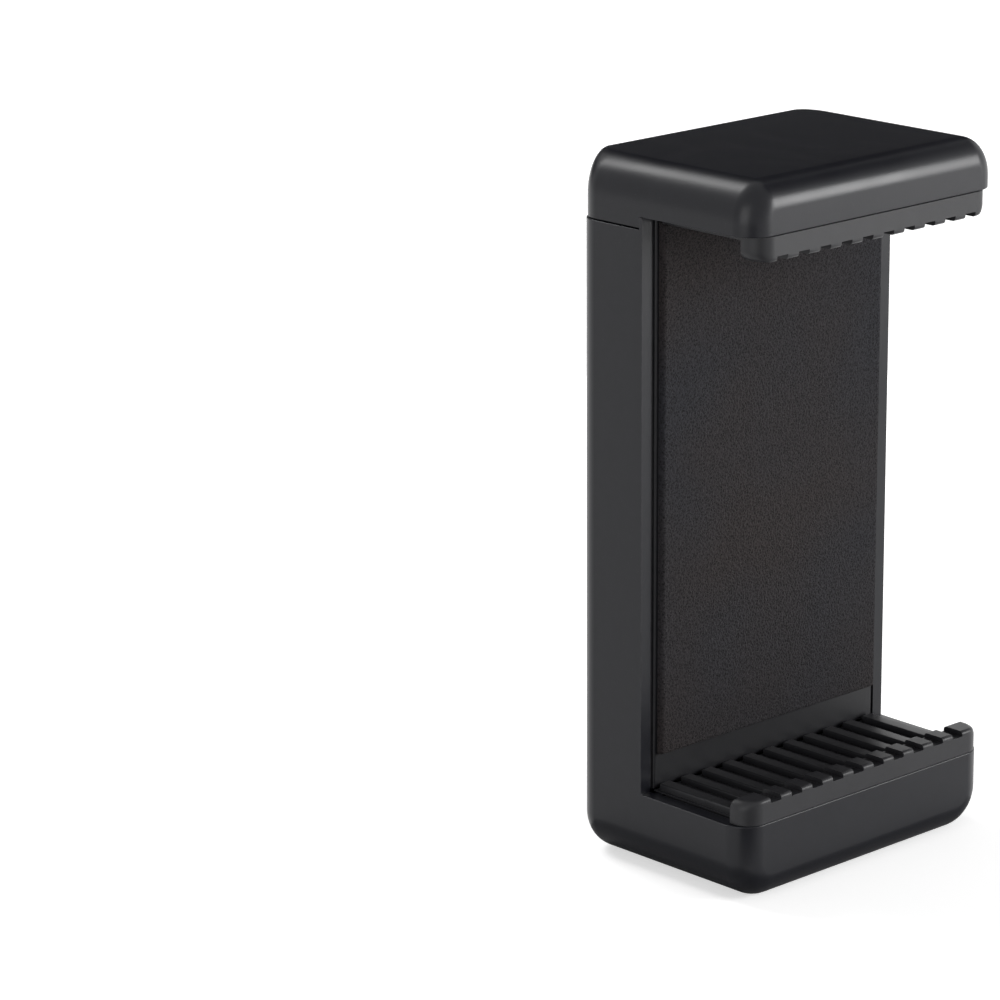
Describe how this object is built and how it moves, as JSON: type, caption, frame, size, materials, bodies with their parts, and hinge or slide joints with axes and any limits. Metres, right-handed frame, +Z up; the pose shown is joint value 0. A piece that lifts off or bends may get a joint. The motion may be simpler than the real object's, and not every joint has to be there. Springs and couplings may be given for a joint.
{
  "type": "tripod phone mount adapter",
  "caption": "Upright spring clamp that holds a phone between two ribbed rubber jaws over a foam pad, with knurled brass tripod inserts in back and base.",
  "frame": {"origin": "middle of the footprint, at the bottom of the housing", "axes": "+Z up, the way the moving jaw opens; -Y the side that the phone lies on; +X across the width"},
  "size_m": [0.042, 0.028, 0.085],
  "materials": {
    "black_plastic": "satin moulded",
    "cover_plastic": "satin moulded",
    "foam": "fine open foam",
    "rubber": "semi-matt",
    "brass": "bright turned",
    "steel": "zinc plated"
  },
  "bodies": {
    "base": {"housing": "black_plastic", "front_cover": "cover_plastic", "foam_pad": "foam", "lower_grip": "rubber", "back_insert": "brass", "bottom_insert": "brass", "cover_screw_1": "steel", "cover_screw_2": "steel", "cover_screw_3": "steel", "cover_screw_4": "steel", "lower_pin_left": "steel", "lower_pin_right": "steel", "spring_left": "steel", "spring_right": "steel"},
    "jaw": {"upper_jaw": "black_plastic", "upper_grip": "rubber", "upper_pin_left": "steel", "upper_pin_right": "steel"}
  },
  "joints": [
    {"name": "jaw_slide", "type": "slide", "parent": "base", "child": "jaw", "axis": [0, 0, 1], "range_m": [0, 0.034], "stiffness_N_per_m": 250, "springref_m": -0.016, "deforming": ["spring_left", "spring_right"]}
  ]
}
